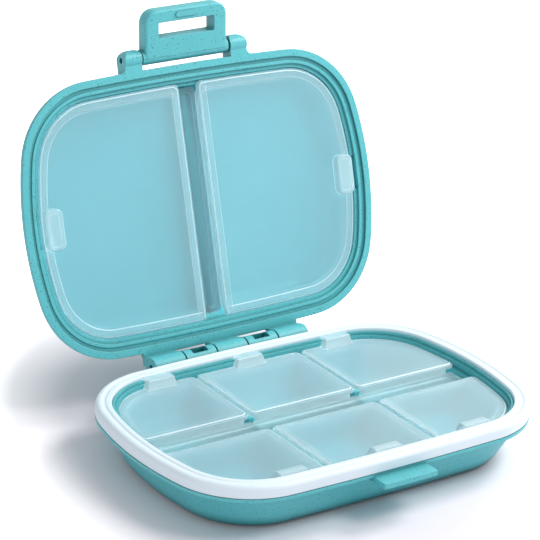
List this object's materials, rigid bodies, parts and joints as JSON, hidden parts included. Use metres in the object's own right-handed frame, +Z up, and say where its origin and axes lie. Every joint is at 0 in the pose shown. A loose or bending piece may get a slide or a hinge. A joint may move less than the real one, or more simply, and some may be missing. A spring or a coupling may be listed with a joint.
{
  "type": "daily pill box",
  "caption": "Hinged travel pill box with rounded corners, a seal ring, frosted lids over its pockets and a swing latch that drops over a catch.",
  "frame": {"origin": "centre of the flat foot under the base", "axes": "+Z up, +Y from the catch to the case hinge, +X to the right as seen from the catch"},
  "size_m": [0.1188, 0.1276, 0.1114],
  "materials": {
    "case_plastic": "satin, finely speckled",
    "lid_plastic": "frosted",
    "seal_silicone": "soft matte"
  },
  "bodies": {
    "base": {"base_shell": "case_plastic", "base_seal": "seal_silicone", "base_lid_strip": "lid_plastic", "case_hinge_pin": "case_plastic"},
    "cover": {"cover_shell": "case_plastic", "cover_lid_strip": "lid_plastic", "latch_pin": "case_plastic"},
    "latch": {"latch": "case_plastic"},
    "cover_lid_left": {"cover_lid_left": "lid_plastic"},
    "cover_lid_right": {"cover_lid_right": "lid_plastic"},
    "base_lid_back_left": {"base_lid_back_left": "lid_plastic"},
    "base_lid_back_middle": {"base_lid_back_middle": "lid_plastic"},
    "base_lid_back_right": {"base_lid_back_right": "lid_plastic"},
    "base_lid_front_left": {"base_lid_front_left": "lid_plastic"},
    "base_lid_front_middle": {"base_lid_front_middle": "lid_plastic"},
    "base_lid_front_right": {"base_lid_front_right": "lid_plastic"}
  },
  "joints": [
    {"name": "cover_hinge", "type": "hinge", "parent": "base", "child": "cover", "pos_m": [0, 0.0444, 0.014], "axis": [-1, 0, 0], "range_deg": [-106.2, 0]},
    {"name": "latch_hinge", "type": "hinge", "parent": "cover", "child": "latch", "pos_m": [0, 0.07404, 0.09755], "axis": [-1, 0, 0], "range_deg": [-76.6, 43.4]},
    {"name": "cover_lid_left_hinge", "type": "hinge", "parent": "cover", "child": "cover_lid_left", "pos_m": [-0.0037, 0.06149, 0.05527], "axis": [0, 0.279, 0.9603], "range_deg": [0, 90]},
    {"name": "cover_lid_right_hinge", "type": "hinge", "parent": "cover", "child": "cover_lid_right", "pos_m": [0.0037, 0.06149, 0.05527], "axis": [0, -0.279, -0.9603], "range_deg": [0, 90]},
    {"name": "base_lid_back_left_hinge", "type": "hinge", "parent": "base", "child": "base_lid_back_left", "pos_m": [0, 0.00505, 0.01345], "axis": [1, 0, 0], "range_deg": [0, 90]},
    {"name": "base_lid_back_middle_hinge", "type": "hinge", "parent": "base", "child": "base_lid_back_middle", "pos_m": [0, 0.00505, 0.01345], "axis": [1, 0, 0], "range_deg": [0, 90]},
    {"name": "base_lid_back_right_hinge", "type": "hinge", "parent": "base", "child": "base_lid_back_right", "pos_m": [0, 0.00505, 0.01345], "axis": [1, 0, 0], "range_deg": [0, 90]},
    {"name": "base_lid_front_left_hinge", "type": "hinge", "parent": "base", "child": "base_lid_front_left", "pos_m": [0, -0.00505, 0.01345], "axis": [-1, 0, 0], "range_deg": [0, 90]},
    {"name": "base_lid_front_middle_hinge", "type": "hinge", "parent": "base", "child": "base_lid_front_middle", "pos_m": [0, -0.00505, 0.01345], "axis": [-1, 0, 0], "range_deg": [0, 90]},
    {"name": "base_lid_front_right_hinge", "type": "hinge", "parent": "base", "child": "base_lid_front_right", "pos_m": [0, -0.00505, 0.01345], "axis": [-1, 0, 0], "range_deg": [0, 90]}
  ]
}
